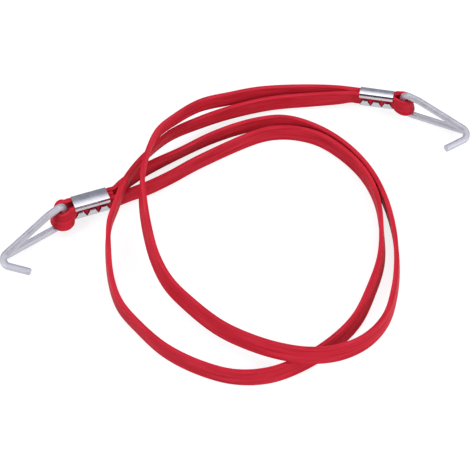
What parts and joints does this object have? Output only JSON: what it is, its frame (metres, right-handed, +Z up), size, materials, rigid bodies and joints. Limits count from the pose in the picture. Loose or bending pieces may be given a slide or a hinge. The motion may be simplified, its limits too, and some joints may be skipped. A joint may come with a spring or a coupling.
{
  "type": "bungee cord",
  "caption": "Flat rubber bungee cord of doubled strap, with a toothed crimp clip and a swinging bent-wire hook at each end, lying loosely looped on a table.",
  "frame": {"origin": "on the table, midway between the outermost points of the two hooked ends", "axes": "+X towards the right-hand hook, +Y away from the viewer, +Z up from the table the cord lies on"},
  "size_m": [0.264, 0.1926, 0.0295],
  "materials": {
    "rubber": "smooth satin",
    "clip_steel": "bright plated sheet",
    "wire_steel": "pale plated wire"
  },
  "bodies": {
    "cord": {"strap_back": "rubber", "strap_front": "rubber", "strap_end_left": "rubber", "eye_left": "rubber", "eye_right": "rubber", "clip_left": "clip_steel", "clip_right": "clip_steel"},
    "left_hook": {"hook_left": "wire_steel"},
    "right_hook": {"hook_right": "wire_steel"}
  },
  "joints": [
    {"name": "hook_left_swing", "type": "hinge", "parent": "cord", "child": "left_hook", "pos_m": [-0.09849, -0.02634, 0.00983], "axis": [-0.0769, -0.0847, 0.9934], "range_deg": [-90, 50]},
    {"name": "hook_right_swing", "type": "hinge", "parent": "cord", "child": "right_hook", "pos_m": [0.09362, 0.05426, 0.01], "axis": [0.0857, -0.131, 0.9877], "range_deg": [-100, 120]}
  ]
}
